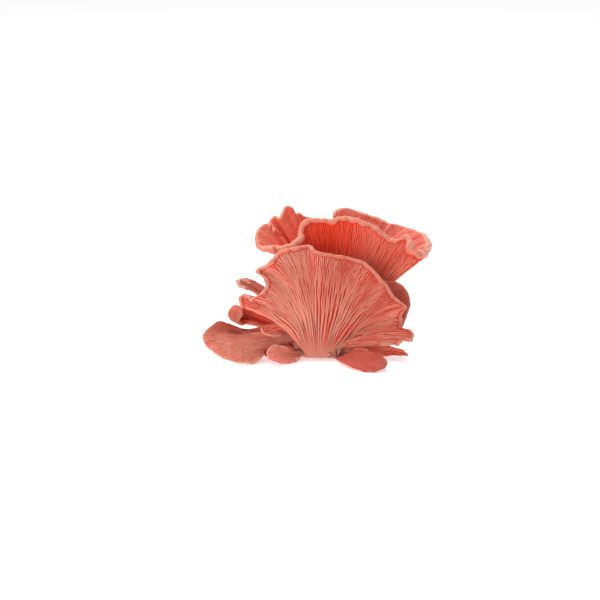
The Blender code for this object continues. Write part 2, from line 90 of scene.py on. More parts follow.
# %% The table
MUSHROOMS = {
    "front_mushroom": {
        "look": "skin", "across": 46,
        "foot": [(-8.5, -11.5, 3), (-5, -12.5, 2), (0, -12.5, 1.5), (4.5, -12.5, 3), (8.5, -12, 5)],
        "spokes": [
            (-20.5, -13, 17.5, -39.5, -10, 26.5), (-21.5, -12, 20, -41.5, -10.5, 30),
            (-21.5, -11, 22.5, -41, -9, 32), (-20.5, -10, 24.5, -35.5, -11, 32),
            (-19.5, -8.5, 26.5, -30, -10, 33.5), (-18.5, -7, 28.5, -27.5, -6, 36.5),
            (-17.5, -5.5, 30.5, -29, -3, 39.5), (-16.5, -4, 32.5, -33, -2, 43),
            (-14.5, -4, 34.5, -27.5, -2, 46.5), (-11.5, -4, 36, -20.5, 0, 52.5),
            (-8, -2.5, 36, -13, 3, 53.5), (-5, -1, 35.5, -7, 4, 54.5), (-2, -2, 35.5, -2.5, 1, 52),
            (2.5, -3.5, 34.5, 5.5, 2, 50), (7.5, -2, 33, 14, 4, 48), (12, -1, 30, 21, 3, 46),
            (15.5, -2.5, 26.5, 27.5, -1, 41), (18, -4, 23, 33, -3, 35), (20, -5, 19.5, 37, -6, 30),
            (21, -4.5, 17, 42, -12, 27.5), (21.5, -4, 14.5, 40, -7, 22.5), (21, -4.5, 13, 40, -7, 17.5),
            (20.5, -6, 11.5, 40.5, -9, 15.5), (20, -6.5, 11, 42.5, -10, 15), (20, -7, 11, 45.5, -12, 14.5),
            (19.5, -7, 10.5, 46.5, -13, 13), (19.5, -7.5, 10, 45.5, -14.5, 10.5),
            (19.5, -8, 9.5, 43.5, -12.5, 11.5), (19, -8.5, 9.5, 42, -11.5, 11), (19, -9, 9, 41, -12.5, 9.5),
            (18.5, -9, 8.5, 39.5, -13.5, 8), (18.5, -9.5, 8, 37.5, -12, 8.5), (18, -10, 7.5, 34, -12.5, 8),
            (17, -11, 7, 29.5, -12, 7.5),
        ],
    },
    "rear_mushroom": {
        "look": "skin", "across": 60,
        "foot": [(1, 10, 7), (-5, 8, 7), (-7, 3, 7), (0, 1, 9), (9, 2, 8)],
        "spokes": [
            (0, 26, 35.5, -5, 37, 61), (-2, 26, 36.5, -9, 37, 62.5), (-4, 26, 38, -12, 36, 64),
            (-6, 26, 39.5, -13.5, 35, 63.5), (-7, 26, 40, -14.5, 35, 65.5), (-8.5, 25.5, 41, -17, 35, 68),
            (-9.5, 25, 41, -19, 34.5, 67), (-10.5, 24, 41, -20, 32, 65.5),
            (-11.5, 22.5, 41.5, -21.5, 28.5, 63), (-12, 23.5, 41.5, -23.5, 31, 63.5),
            (-13, 23.5, 41.5, -25.5, 30.5, 62.5), (-13.5, 22, 41, -26.5, 28.5, 60.5),
            (-13.5, 19.5, 41, -24.5, 23, 58), (-14, 20, 41, -26.5, 24.5, 60), (-15, 19.5, 40.5, -29, 24, 61),
            (-15.5, 18, 40.5, -31, 22, 60), (-16, 17, 40.5, -32.5, 20, 58.5),
            (-16.5, 15.5, 40, -33.5, 17, 55.5), (-16.5, 14, 39.5, -32, 13, 52),
            (-15.5, 12, 39, -27.5, 9, 53), (-13.5, 11, 38, -21.5, 8, 53), (-11, 11, 37.5, -16, 8, 54.5),
            (-8, 13, 38, -11, 11, 59), (-5.5, 14, 39, -10.5, 14, 64), (-2.5, 15, 38, -6.5, 15, 66),
            (2.5, 16, 37, 3, 17, 65.5), (8, 16, 36, 12, 18, 66.5), (13.5, 15, 34.5, 20, 17, 65),
            (18, 15, 32.5, 28, 16, 61.5), (21, 14, 30.5, 35.5, 16, 55.5), (22.5, 13.5, 29, 39.5, 15, 56),
            (24, 12.5, 28, 43.5, 15, 58.5), (24.5, 12, 26.5, 47, 14, 55), (25, 11.5, 25, 48.5, 13, 50.5),
            (24.5, 11, 23, 51.5, 12, 46),
        ],
    },
    "back_mushroom": {
        "look": "pale", "across": 26,
        "foot": [(13.5, 7, 6), (9, 10.5, 6.5)],
        "spokes": [
            (32.5, 18, 29, 49.5, 18, 49), (32.5, 20, 32, 53, 16, 49.5), (32, 22, 35.5, 54.5, 19, 52.5),
            (31, 24, 38, 52, 25, 55.5), (29, 26, 39.5, 46, 31, 56.5), (26.5, 28, 40.5, 40, 35, 57.5),
            (24, 30, 41, 34, 38, 58), (21.5, 31, 41.5, 28, 40, 60.5), (18.5, 32, 42, 21.5, 42, 62),
            (15.5, 32, 42, 14.5, 43, 64.5), (12.5, 32, 41.5, 10.5, 42, 65), (10, 31, 39.5, 7, 41, 63.5),
            (8.5, 30, 36.5, 8, 40, 57),
        ],
    },
    "right_mushroom": {
        "look": "deep", "across": 16,
        "foot": [(13, 0, 6), (12, 1, 12)],
        "spokes": [
            (25.5, 1.5, 10, 39, -2, 10.5), (27, 3, 14, 41.5, 0, 16), (28.5, 4, 17, 43.5, 2, 21.5),
            (29, 4.5, 20, 44.5, 4, 25.5), (28, 5, 23, 43, 6, 30), (26, 5, 25.5, 39.5, 7.5, 34),
            (23, 4.5, 27.5, 34.5, 7, 35.5), (20, 4, 28, 29, 6.5, 35),
        ],
    },
    "curled_mushroom": {
        "look": "skin", "across": 14,
        "stem": 3,
        "foot": [(-13.5, 3, 7), (-12, 3.5, 12)],
        "spokes": [
            (-31.5, -1, 16, -37.5, -3, 17), (-39, 0, 16.5, -40.5, -7, 17), (-42, 0, 17.5, -41.5, -9, 19),
            (-43.5, 0, 19.5, -40, -9.5, 21.5), (-43, 0, 21, -39, -9, 23.5), (-41.5, 0, 22, -39.5, -7, 24.5),
            (-38, 0, 22.5, -41, -3, 23.5), (-32.5, 0, 23, -38, 0, 23),
        ],
    },
    "paddle_mushroom": {
        "look": "skin", "across": 22,
        "stem": 3,
        "foot": [(-8, -1, 16), (-10, -2.5, 8)],
        "spokes": [
            (-26, -3, 15.5, -31, -6, 14.5), (-29, -5, 14, -37.5, -10.5, 13.5),
            (-32, -7, 13.5, -43, -13, 16.5), (-34.5, -8.5, 13, -49, -12, 20),
            (-37.5, -10.5, 12.5, -56, -13, 17), (-39.5, -13, 12, -59, -15, 12.5),
            (-39.5, -15.5, 10, -56.5, -17, 8), (-38.5, -16, 8.5, -51, -18.5, 4.5),
            (-36.5, -16, 7.5, -45, -20, 2), (-34, -15, 6.5, -39, -20.5, 1), (-31, -13, 6, -34.5, -20.5, 0.5),
            (-28, -10.5, 6.5, -31.5, -19, 1.5), (-25.5, -8, 7, -28.5, -16, 4),
        ],
    },
    "half_round_mushroom": {
        "look": "skin", "across": 12,
        "stem": 1.9,
        "margin": 1.5,
        "foot": [(-7, -5, 12), (-6.5, -4.5, 16)],
        "spokes": [
            (-18, -7.5, 14, -19, -9.5, 13.5), (-20.5, -9, 14.5, -21.5, -13.5, 13),
            (-22.5, -10.5, 15, -24.5, -16, 13.5), (-23.5, -10, 16, -27.5, -16.5, 14.5),
            (-24, -9, 16.5, -30, -16, 16.5), (-23, -7.5, 17, -30, -13.5, 17.5),
        ],
    },
    "tucked_mushroom": {
        "look": "deep", "across": 10,
        "stem": 2.4,
        "foot": [(-14, -2, 1), (-13.5, -1.5, 5)],
        "spokes": [
            (-16.5, -7, 1.5, -22, -12.5, 0.5), (-18.5, -7, 2.5, -26.5, -11, 1), (-20.5, -6, 4, -29.5, -9, 2),
            (-21, -4.5, 5, -29.5, -7, 4.5), (-19.5, -3, 6.5, -28, -5, 7), (-18, -2, 7.5, -25.5, -2, 9.5),
            (-16, -1.5, 8.5, -21.5, -1.5, 10),
        ],
    },
    "low_mushroom": {
        "look": "pale", "across": 14,
        "stem": 3,
        "foot": [(-10.5, -4.5, 4), (-9.5, -5, 1.5)],
        "spokes": [
            (-14.5, -13, 5.5, -17.5, -17, 8), (-17, -15.5, 6.5, -21.5, -19, 9.5),
            (-19, -17.5, 6.5, -25, -20.5, 9.5), (-20.5, -19, 5.5, -27, -21.5, 6.5),
            (-20, -19.5, 4, -25, -20.5, 3), (-18.5, -19, 3, -21.5, -19.5, 1.5),
            (-16, -17.5, 2, -17.5, -19, 1), (-13.5, -15.5, 1.5, -13.5, -18, 1.5),
            (-11.5, -13, 1.5, -11, -15.5, 1.5),
        ],
    },
    "tongue_mushroom": {
        "look": "deep", "across": 14,
        "stem": 1.9,
        "foot": [(7, -6, -0.5), (12, -4.5, -0.5)],
        "spokes": [
            (10, -23, 2, 19.5, -33, 1), (13, -24, 2.5, 24.5, -35, 0.5), (15.5, -23, 3, 29, -34, 1.5),
            (16.5, -21, 4, 32, -30, 3), (16.5, -18.5, 4.5, 30.5, -26, 5.5), (16, -14, 4.5, 25.5, -23, 6.5),
            (14, -11.5, 4, 19.5, -19, 8),
        ],
    },
    "strap_mushroom": {
        "look": "deep", "across": 16,
        "stem": 2.6,
        "foot": [(14, -2, 5.5), (14, -3, 2)],
        "spokes": [
            (23.5, -4, 8, 29, -5, 6), (24.5, -4.5, 7, 32.5, -6, 4.5), (26, -5, 6, 37, -7, 3.5),
            (28, -6, 5, 41.5, -8, 3), (29, -7, 4, 43, -9, 1.5), (28.5, -7.5, 3.5, 40, -9, 1.5),
            (27.5, -8, 3, 35.5, -9, 1.5), (26, -8, 3, 31, -9, 1), (23.5, -8, 3.5, 26.5, -9, 2.5),
        ],
    },
    "finger_mushroom": {
        "look": "pale", "across": 8,
        "stem": 2.6,
        "foot": [(-10.5, 3, 16), (-12, 2.5, 13)],
        "spokes": [
            (-28, 3, 33, -35, -1, 36.5), (-30, 3, 32.5, -40.5, -3, 39), (-31, 3, 31.5, -43, -5, 38.5),
            (-30.5, 2.5, 30, -41, -5, 36.5), (-29, 2, 28, -38, -5, 34),
        ],
    },
}

# %% [markdown]
# Every margin is rolled, but not evenly. BEAD_RADIUS is the radius of each cap's roll. In the places
# that ROLLS lists, the edge has curled over into a fat roll or a whole lobe, or is torn into knobs
# and thin. Each entry is the spoke in the middle of the place, how many spokes it spreads over, and
# the radius there.
#
# Two more tables list places in the same way. SHADED is painted shade: it darkens the colour of
# places that lie in their neighbours' shadow, and of places turned away from the light, such as the
# paddle's upper flap and the front cap's right side. FOLDS pushes the sheet towards its skin side in
# a pleat, in millimetres at the rim. SHALLOW is for small caps: the share of the usual depth that
# their gills have.

# %% Where the margins are rolled, shaded and folded
BEAD_RADIUS = {
    "front_mushroom": 1.1, "rear_mushroom": 1.4, "back_mushroom": 1.4, "right_mushroom": 0.9,
    "curled_mushroom": 0.8, "paddle_mushroom": 0.75, "half_round_mushroom": 0.6, "tucked_mushroom": 0.65,
    "low_mushroom": 0.65, "tongue_mushroom": 0.85, "strap_mushroom": 0.65, "finger_mushroom": 0.8,
}
ROLLS = {
    "front_mushroom": [(6, 3, 1.5), (32, 2.5, 1.3), (45, 5, 0.65)],
    "rear_mushroom": [(8, 8, 0.95), (20, 2, 2.0), (32, 0.8, 3.3)],
    "back_mushroom": [(1.5, 1.5, 2.6)],
    "curled_mushroom": [(4, 2, 1.1)],
}
SHADED = {
    "front_mushroom": [(20, 5, 0.3), (12, 3, 0.15), (31, 3, 0.15)],
    "curled_mushroom": [(3, 3, 0.45)],
    "paddle_mushroom": [(2.4, 1.8, 0.95)],
    "low_mushroom": [(4, 5, 0.25)],
    "tongue_mushroom": [(3, 4, 0.5)],
}
FOLDS = {"paddle_mushroom": [(4.7, 0.7, 1.1)]}
SHALLOW = {"curled_mushroom": 0.25, "half_round_mushroom": 0.45, "tucked_mushroom": 0.6}
print(len(MUSHROOMS), "mushrooms,", sum(len(m["spokes"]) for m in MUSHROOMS.values()), "spokes")

# %% [markdown]
# ## From spokes to a sheet
# Across the fan, a smooth curve goes through the feet, one through the waists and one through the
# rims. Along each spoke, a parabola joins the three. Because both are formulas, the sheet can be
# asked for at any fineness, and at a different length on every spoke, which the rolled edge needs.

# %% Curves through points
def through(knots, points, at):
    """A smooth curve through the points, which sit at the knots, read at each place in at."""
    step = np.diff(knots)[:, None]
    slope = np.diff(points, axis=0) / step
    inner = (slope[1:] * step[:-1] + slope[:-1] * step[1:]) / (step[1:] + step[:-1])
    tangent = np.concatenate([slope[:1], inner, slope[-1:]])
    k = np.clip(np.searchsorted(knots, at, side="right") - 1, 0, len(knots) - 2)
    s = ((at - knots[k]) / np.diff(knots)[k])[:, None]
    h = step[k]
    start = (1 + 2 * s) * (1 - s) ** 2 * points[k] + s * (1 - s) ** 2 * h * tangent[k]
    end = s**2 * (3 - 2 * s) * points[k + 1] + s**2 * (s - 1) * h * tangent[k + 1]
    return start + end


def lengths(line):
    """How far it is from each point of a line to the next."""
    return np.linalg.norm(np.diff(line, axis=0), axis=1)


def guides(shape, v):
    """The spoke's number, foot, waist and rim point at each place v across the fan."""
    foot, spokes = [np.array(shape[part], float) for part in ("foot", "spokes")]
    waist, rim = spokes[:, :3].copy(), spokes[:, 3:].copy()
    gap = lengths(rim) + lengths(waist)
    knots = np.concatenate([[0], np.cumsum(gap)]) / gap.sum()
    number = np.interp(v, knots, np.arange(len(knots)))
    low = through(np.linspace(0, 1, len(foot)), foot, v)
    return number, low, through(knots, waist, v), through(knots, rim, v)


def sheet(low, middle, high, u):
    """Points of the sheet at u along each spoke, from 0 at the foot to 1 at the rim."""
    u = u[:, :, None]
    return low * (1 - u) * (1 - 2 * u) + middle * 4 * u * (1 - u) + high * u * (2 * u - 1)


def unit(vectors):
    return vectors / np.maximum(np.linalg.norm(vectors, axis=-1, keepdims=True), 1e-9)


print("helpers for the sheet are ready")

# %% [markdown]
# ## Unevenness
# Nothing that grows is smooth. A few sine waves with shuffled phases are enough to make the edge
# wander and the cap ripple, and the same seed always gives the same mushroom. Random numbers for
# each vertex would give spikes instead of swells.

# %% Waves
def waves(place, seed, longest, count=5):
    """A gentle uneven line between about -1 and 1, from waves of the longest length and shorter."""
    pick = np.random.RandomState(seed)
    total = np.zeros_like(place)
    for n in range(count):
        total += np.sin(place * 2 * math.pi * 1.6**n / longest + pick.uniform(0, 2 * math.pi)) * 0.72**n
    return total / 2.2


def lumps(points, seed, size):
    """The same in space: a smooth field of swellings of about that size, for each point."""
    pick = np.random.RandomState(seed)
    total = np.zeros(points.shape[:-1])
    for n in range(6):
        direction = unit(pick.normal(size=3)) * 2 * math.pi / (size * pick.uniform(0.7, 1.5))
        total += np.sin(points @ direction + pick.uniform(0, 2 * math.pi))
    return total / 3


print("an edge wanders between", waves(np.linspace(0, 80, 400), 1, 14).min().round(2), "and",
      waves(np.linspace(0, 80, 400), 1, 14).max().round(2))

# %% [markdown]
# ## The flesh
# A cap's flesh is a thin plate. Its skin side is smooth, its edge is rolled under in a soft bead,
# and its other side is the bed that the gills stand on. Solidify would give a plate with square
# edges, so the outline is drawn instead: up the skin side, round the bead and back down the bed,
# once for every place across the fan. Near the two side edges the outline shrinks to nothing, in
# the shape of a circle, so that they are round too.
#
# Each vertex also keeps what the colours need: how near it is to the margin and to the stem,
# whether it is on the bed, and how much painted shade from SHADED its colour gets.

# %% Sizes of the flesh, and its outline
MARGIN_THICKNESS, STEM_THICKNESS = 1.9, 5.2
GILL_DEPTH, GILL_SPACING = 1.25, 1.17
ROWS = 44  # rows of points from the stem to the margin
COLUMNS_TO_A_STEP = 9  # columns of points to each step across the fan
BEAD_STEPS = 9  # rows of points round the bead
BEAD_VARIES, BEAD_WAVE = 0.22, 13
BEAD_TAPER = 2.5  # at the ends of the margin the bead tapers off over this many of its radii
LEAST_BEAD = 0.02
EDGE_WANDERS, EDGE_WAVE = 0.3, 9
FULL_LENGTH, LEAST_ROOM = 30, 0.3  # a cap with shorter spokes than this ripples less
RIPPLES = ((0.55, 15, 3), (0.22, 5, 2))  # for each ripple: its height, longest wave and waves
RIPPLE_AT_RIM = 2.5  # the higher this power, the more the ripples keep to the rim
SWELLING, SWELLING_SIZE = 0.16, 9
SIDE_ROUNDING = 1.6  # the side edges are rounded over this many half thicknesses
FULL_DEPTH_FROM = 0.16  # the share of the spoke where the gills reach their full depth
BED_ENDS = 0.95  # how far into the bead the gill bed reaches, as a share of its radius
FLOOR_GAP = 0.02  # nothing comes nearer to the floor than this


def quarter_circle(share, least):
    """Rises from near 0 to 1 as a quarter of a circle does, while the share goes from 0 to 1."""
    return np.sqrt(np.clip(1 - (1 - np.clip(share, least, 1)) ** 2, 0, 1))


def near_places(places, number):
    """How strongly each spoke number feels the places listed for a cap."""
    return sum(
        (amount * np.exp(-(((number - at) / spread) ** 2)) for at, spread, amount in places),
        np.zeros(len(number)),
    )


def outline(name, shape, seed):
    """Everything measured on the sheet: rows of points, directions and thicknesses, in millimetres."""
    columns = shape["across"] * COLUMNS_TO_A_STEP + 1
    v = np.linspace(0, 1, columns)
    number, low, middle, high = guides(shape, v)
    rim_place = np.concatenate([[0], np.cumsum(lengths(high))])
    spoke = np.linalg.norm(middle - low, axis=1) + np.linalg.norm(high - middle, axis=1)
    bead = np.full(columns, BEAD_RADIUS[name])
    for middle_spoke, spread, radius in ROLLS.get(name, []):
        near = np.exp(-(((number - middle_spoke) / spread) ** 2))
        bead = bead + (radius - bead) * near
    bead = bead * (1 + BEAD_VARIES * waves(rim_place, seed + 3, BEAD_WAVE))
    # Painted shade for each spoke, from the places in SHADED
    shade = near_places(SHADED.get(name, []), number)
    fold = near_places(FOLDS.get(name, []), number)
    ends = np.minimum(rim_place, rim_place[-1] - rim_place)
    bead = bead * quarter_circle(ends / (BEAD_TAPER * bead), 0.02)
    room = np.clip(spoke / FULL_LENGTH, LEAST_ROOM, 1)
    wander = EDGE_WANDERS * room * waves(rim_place, seed, EDGE_WAVE, 3)
    reach = 1 - np.maximum(bead + wander, LEAST_BEAD) / spoke
    u = np.linspace(0, 1, ROWS)[:, None] ** 0.9 * reach[None, :]
    points = sheet(low, middle, high, u)
    skinward = unit(np.cross(np.gradient(points, axis=0), np.gradient(points, axis=1)))
    ripple = sum(
        height * waves(rim_place, seed + n, longest, count)
        for n, (height, longest, count) in enumerate(RIPPLES, 1)
    )
    points = points + skinward * (ripple * room + fold)[None, :, None] * u[:, :, None] ** RIPPLE_AT_RIM
    points = points + skinward * (SWELLING * lumps(points, seed + 4, SWELLING_SIZE))[:, :, None]
    skinward = unit(np.cross(np.gradient(points, axis=0), np.gradient(points, axis=1)))
    margin = shape.get("margin", MARGIN_THICKNESS)
    stem = shape.get("stem", STEM_THICKNESS)
    half = (margin + (stem - margin) * (1 - u) ** 1.5) / 2
    side = np.cumsum(np.linalg.norm(np.diff(points, axis=1, prepend=points[:, :1]), axis=2), axis=1)
    side = np.minimum(side, side[:, -1:] - side)
    rounding = quarter_circle(side / (SIDE_ROUNDING * half), 0.03)
    deepens = np.clip(u / FULL_DEPTH_FROM, 0, 1) ** 0.7
    depth = np.minimum(GILL_DEPTH, 1.05 * half) * deepens * SHALLOW.get(name, 1)
    return {
        "points": points, "skinward": skinward, "outward": unit(points[-1] - points[-3]), "u": u, "v": v,
        "half": half * rounding, "bead": bead, "depth": depth * rounding, "side": side, "spoke": spoke,
        "rim_place": rim_place, "shade": shade,
    }


def gill_bed(cap):
    """The side that the gills stand on, which ends just inside the bead."""
    bed = cap["points"] - cap["skinward"] * (cap["half"] - cap["depth"])[:, :, None]
    tuck = cap["outward"] * (BED_ENDS * cap["bead"])[None, :, None]
    return bed - tuck * np.linspace(0, 1, ROWS)[:, None, None] ** 8


print("an outline has", 2 * ROWS + BEAD_STEPS, "points around it")

# %% [markdown]
# Each row of points is joined to the next all the way round, from the skin over the bead to the
# bed, and the two side edges are closed. The flesh also gets a map in metres for the skin's grain.

# %% Turn an outline into a closed mesh
BEAD_TURNS = (14, 236)  # degrees from the skin's direction, where the bead starts and ends
PALE_ON_SKIN, PALE_ON_BED, PALE_AT_SIDE = 3.2, 1.6, 1.5  # how wide the margin's pale band is
BED_PALENESS = 0.6


def store(mesh, label, values):
    """Keep one number for each vertex."""
    mesh.attributes.new(label, "FLOAT", "POINT").data.foreach_set("value", values.ravel())


def add_map(mesh, label, places):
    """A UV layer in which every vertex has one place, the same for all the faces round it."""
    corner = np.zeros(len(mesh.loops), np.int32)
    mesh.uv_layers.new(name=label)
    mesh.loops.foreach_get("vertex_index", corner)
    mesh.uv_layers[label].data.foreach_set("uv", places[corner].ravel())


def flesh_mesh(name, cap):
    """The plate itself: skin side, bead and gill bed joined in one closed loop for each column."""
    skin = cap["points"] + cap["skinward"] * cap["half"][:, :, None]
    bed = gill_bed(cap)
    out, away = cap["outward"], cap["skinward"][-1]
    centre = cap["points"][-1] + away * (cap["half"][-1] - cap["bead"])[:, None]
    turn = np.radians(np.linspace(*BEAD_TURNS, BEAD_STEPS))[:, None, None]
    roll = centre + cap["bead"][:, None] * (np.cos(turn) * away + np.sin(turn) * out)
    rings = np.concatenate([skin, roll, bed[::-1]])
    count, columns = rings.shape[:2]
    rings[:, :, 2] = np.maximum(rings[:, :, 2], FLOOR_GAP)
    near_margin = np.concatenate([
        np.clip(1 - (1 - cap["u"]) * cap["spoke"] / PALE_ON_SKIN, 0, 1),
        np.ones((BEAD_STEPS, columns)),
        np.clip(1 - (1 - cap["u"][::-1]) * cap["spoke"] / PALE_ON_BED, 0, 1) * BED_PALENESS,
    ])
    near_stem = np.concatenate([1 - cap["u"], np.zeros((BEAD_STEPS, columns)), 1 - cap["u"][::-1]])
    on_bed = np.concatenate([
        np.zeros((ROWS, columns)),
        np.repeat(np.linspace(0, 1, BEAD_STEPS)[:, None] ** 6, columns, axis=1),
        np.ones((ROWS, columns)),
    ])
    far = np.full((BEAD_STEPS, columns), np.inf)
    edge = np.clip(1 - np.concatenate([cap["side"], far, cap["side"][::-1]]) / PALE_AT_SIDE, 0, 1)
    near_margin = np.maximum(near_margin, edge * (1 - near_stem) ** 0.5)
    number = np.arange(count * columns).reshape(count, columns)
    following = np.roll(number, -1, axis=0)
    wall = np.stack([number[:, :-1], following[:, :-1], following[:, 1:], number[:, 1:]], axis=-1)
    faces = [list(map(int, face)) for face in wall.reshape(-1, 4)]
    mirror = number[::-1]
    for column, order in ((0, 1), (columns - 1, -1)):
        for row in range(ROWS - 1):
            here, there = (row, column), (row + 1, column)
            face = [number[here], mirror[here], mirror[there], number[there]]
            faces.append([int(corner) for corner in face[::order]])
        face = [int(corner) for corner in number[ROWS - 1:ROWS + BEAD_STEPS + 1, column]]
        faces.append(face[::-order])
    mesh = bpy.data.meshes.new(name)
    mesh.from_pydata([tuple(p) for p in rings.reshape(-1, 3) * MM], [], faces)
    # Painted shade from SHADED, kept off the stem
    shade = np.broadcast_to(cap["shade"], (count, columns)) * (1 - near_stem**2)
    for label, values in (
        ("near_margin", near_margin), ("near_stem", near_stem), ("on_bed", on_bed), ("shade", shade),
    ):
        store(mesh, label, values)
    width = cap["rim_place"] * MM
    length = np.concatenate([cap["u"], cap["u"][-1:].repeat(BEAD_STEPS, 0), cap["u"][::-1]])
    length = length * cap["spoke"].mean() * MM
    place = np.stack([np.broadcast_to(width, (count, columns)), length], axis=-1).reshape(-1, 2)
    add_map(mesh, "grain", place)
    mesh.shade_smooth()
    mesh.validate()
    return mesh


def place(name, mesh):
    """An object at the origin, unturned, with its place in its mesh."""
    made = bpy.data.objects.new(name, mesh)
    bpy.context.scene.collection.objects.link(made)
    return made


print("the bead turns through", BEAD_TURNS[1] - BEAD_TURNS[0], "degrees")

# %% [markdown]
# Now every mushroom in the table gets its flesh. Each has its own seed, so that no two ripple alike.

# %% Make every cap's flesh
caps, flesh = {}, {}
for number, (name, shape) in enumerate(MUSHROOMS.items()):
    caps[name] = outline(name, shape, 20 * number + 5)
    flesh[name] = place(name.replace("mushroom", "cap"), flesh_mesh(name + "_flesh", caps[name]))
    print(name, "spans", round(float(caps[name]["rim_place"][-1])), "mm of margin,",
          len(flesh[name].data.polygons), "faces")

# %% [markdown]
# ## The gills
# Gills are thin blades that stand on the bed, about as far apart as they are deep. Short ones start
# between the long ones wherever the fan gets wide enough, so the spacing stays even from the stem
# to the rim. Modelling each by hand is hopeless, and a bump texture would have no edges to catch
# the light. A Geometry Nodes tree makes them instead: it lays one blade for each gill, and then
# moves every vertex of it onto the bed by asking the bed's own map where it is.
#
# The map is a UV layer that runs from 0 to 1 across the fan and from 0 to 1 along the spokes.

# %% The bed, with its map
def bed_object(name, cap):
    """A grid over the gill side that tells the tree where the bed is and which way gills stand."""
    points = gill_bed(cap)
    rows, columns = points.shape[:2]
    number = np.arange(rows * columns).reshape(rows, columns)
    quads = np.stack([number[:-1, :-1], number[:-1, 1:], number[1:, 1:], number[1:, :-1]], axis=-1)
    mesh = bpy.data.meshes.new(name)
    mesh.from_pydata([tuple(p) for p in points.reshape(-1, 3) * MM], [], quads.reshape(-1, 4).tolist())
    across = np.gradient(points, cap["v"], axis=1)
    for label, values in (("stands", -cap["skinward"]), ("across", across * MM)):
        mesh.attributes.new(label, "FLOAT_VECTOR", "POINT").data.foreach_set("vector", values.ravel())
    store(mesh, "depth", cap["depth"] * MM)
    share = np.linspace(0, 1, rows)
    spot = np.stack(np.broadcast_arrays(cap["v"][None, :], share[:, None]), axis=-1).reshape(-1, 2)
    add_map(mesh, "bed_map", spot)
    return place(name, mesh)


print("a bed's map is its uv layer, bed_map")

# %% [markdown]
# ### One way to add a node
# Both the gills and the finishes are made of nodes. A single helper adds any of them: it takes the
# kind, the settings, and what goes into the sockets, in their order. Whatever goes in may be a
# number, a socket, or another node, which gives its first output.

# %% Add a node
def add(tree, kind, settings, *inputs):
    """A new node with its settings applied and its inputs linked or set, in order."""
    made = tree.nodes.new(kind)
    for key, value in settings.items():
        setattr(made, key, value)
    for socket, value in zip([socket for socket in made.inputs if socket.enabled], inputs):
        if isinstance(value, bpy.types.Node):
            value = next(out for out in value.outputs if out.enabled)
        if isinstance(value, bpy.types.NodeSocket):
            tree.links.new(value, socket)
        elif value is not None:
            socket.default_value = value
    return made


MATH, VECTOR, RANGE = "ShaderNodeMath", "ShaderNodeVectorMath", "ShaderNodeMapRange"
SPLIT, JOIN, NOISE = "ShaderNodeSeparateXYZ", "ShaderNodeCombineXYZ", "ShaderNodeTexNoise"
MIX, COLOURS = "ShaderNodeMix", {"data_type": "RGBA"}
STORE, RECALL = "GeometryNodeStoreNamedAttribute", "GeometryNodeInputNamedAttribute"
PLUS, MINUS, TIMES, OVER = [{"operation": word} for word in ("ADD", "SUBTRACT", "MULTIPLY", "DIVIDE")]
REMAINDER, ABOVE, SMALLER = [{"operation": word} for word in ("MODULO", "GREATER_THAN", "MINIMUM")]
TIMES_PLUS, POWER, SCALE = [{"operation": word} for word in ("MULTIPLY_ADD", "POWER", "SCALE")]
NORMALIZE, LENGTH, VALUE = {"operation": "NORMALIZE"}, {"operation": "LENGTH"}, {"data_type": "FLOAT"}
SMOOTH = {"interpolation_type": "SMOOTHSTEP"}
print("the node helper is ready")

# %% [markdown]
# ### The comb of gills
# The tree's inputs are the sizes that a grower could measure: how many gills there are, how thick
# they are, how far they waver, and how uneven their edges are. Each gill starts as a five-sided bar
# with few faces, because a flat sheet has no thickness to catch light. A vertex's place inside the
# bar becomes its place along the gill, its side and its height.

# %% The tree's inputs, and one bar for each gill
tree = bpy.data.node_groups.new("comb_of_gills", "GeometryNodeTree")
for label, kind, value in (
    ("Bed", "Geometry", None), ("Gills", "Int", 100), ("Gill Thickness", "Float", 1.25 * MM),
    ("Waver", "Float", 0.5 * MM), ("Unevenness", "Float", 0.35), ("Steps", "Int", 24),
    ("Seed", "Int", 1), ("Finish", "Material", None),
):
    socket = tree.interface.new_socket(label, in_out="INPUT", socket_type="NodeSocket" + kind)
    if value is not None:
        socket.default_value = value
tree.interface.new_socket("Comb", in_out="OUTPUT", socket_type="NodeSocketGeometry")
given = tree.nodes.new("NodeGroupInput").outputs

SIDES = 5
POINT_DOWN = math.radians(54)  # turns the bar until one edge points down and one side lies on top
BAR_HEIGHT = 1.809  # of a five-sided bar of radius 1, from that edge to that side
bar = add(tree, "GeometryNodeMeshCylinder", {}, SIDES, given["Steps"], 1, 1.0, 1.0)
bar = add(tree, "GeometryNodeTransform", {}, bar, None, (0, 0, POINT_DOWN))
position = tree.nodes.new("GeometryNodeInputPosition")
bar = add(tree, STORE, {"data_type": "FLOAT_VECTOR"}, bar, None, "in_bar", position)
order = tree.nodes.new("GeometryNodeInputIndex")
points = add(tree, "GeometryNodePoints", {}, given["Gills"])
blades = add(tree, "GeometryNodeInstanceOnPoints", {}, points, None, bar)
print("each gill starts as a bar with", SIDES, "sides")

# %% [markdown]
# Every sixteenth gill runs from the stem to the margin. Halfway between each pair of these stands a
# shorter one, then shorter ones again, and chance moves every start a little. A short gill leans
# over to a neighbour where it starts, as if it forked from it.

# %% Where each gill stands and where it starts
EARLIEST_CHANCE, LATEST_CHANCE = -0.07, 0.09
LATER_STARTS = ((2, 0.2), (4, 0.12), (8, 0.06), (16, 0.03))
FIRST_START = 0.015
spot = add(tree, MATH, OVER, add(tree, MATH, PLUS, order, 0.5), given["Gills"])
start = add(
    tree, "FunctionNodeRandomValue", VALUE, EARLIEST_CHANCE, LATEST_CHANCE, order, given["Seed"])
for every, later in LATER_STARTS:
    short = add(tree, MATH, ABOVE, add(tree, MATH, REMAINDER, order, float(every)), 0.5)
    start = add(tree, MATH, PLUS, start, add(tree, MATH, TIMES, short, later))
start = add(tree, MATH, {"operation": "MAXIMUM"}, start, FIRST_START)
pairs = add(tree, MATH, {"operation": "FLOOR"}, add(tree, MATH, OVER, order, 2.0))
leans = add(tree, MATH, TIMES_PLUS, add(tree, MATH, REMAINDER, pairs, 2.0), 2.0, -1.0)
